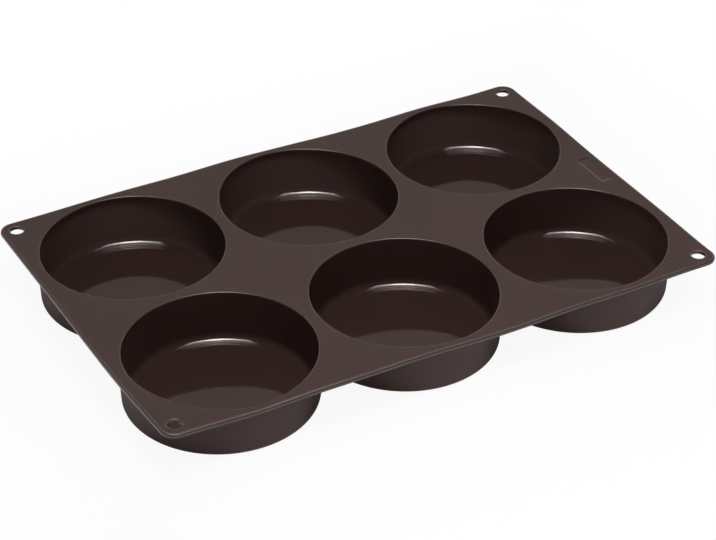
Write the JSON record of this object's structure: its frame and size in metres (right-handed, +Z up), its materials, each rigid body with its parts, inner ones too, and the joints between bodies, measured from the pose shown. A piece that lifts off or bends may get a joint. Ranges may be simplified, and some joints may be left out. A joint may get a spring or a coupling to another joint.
{
  "type": "burger bun mould",
  "caption": "Flexible silicone baking mould: a flat sheet with round cups for burger buns hanging from it and a hanging hole in each corner.",
  "frame": {"origin": "under the middle of the sheet, on the surface that the cups stand on", "axes": "+X along the long side, towards the end with the plain panel; +Y across it, from the front row of cups to the rear row; +Z up, out of the cups' mouths"},
  "size_m": [0.3294, 0.216, 0.03],
  "materials": {
    "polished_silicone": "dark brown silicone, smooth and glossy from a polished tool",
    "satin_silicone": "dark brown silicone, satin from a finely blasted tool"
  },
  "bodies": {
    "root": {"top_sheet": "polished_silicone", "front_left_cup_wall": "satin_silicone", "front_middle_cup_wall": "satin_silicone", "front_right_cup_wall": "satin_silicone", "rear_left_cup_wall": "satin_silicone", "rear_middle_cup_wall": "satin_silicone", "rear_right_cup_wall": "satin_silicone", "front_left_cup_floor": "polished_silicone", "front_middle_cup_floor": "polished_silicone", "front_right_cup_floor": "polished_silicone", "rear_left_cup_floor": "polished_silicone", "rear_middle_cup_floor": "polished_silicone", "rear_right_cup_floor": "polished_silicone"}
  },
  "joints": []
}
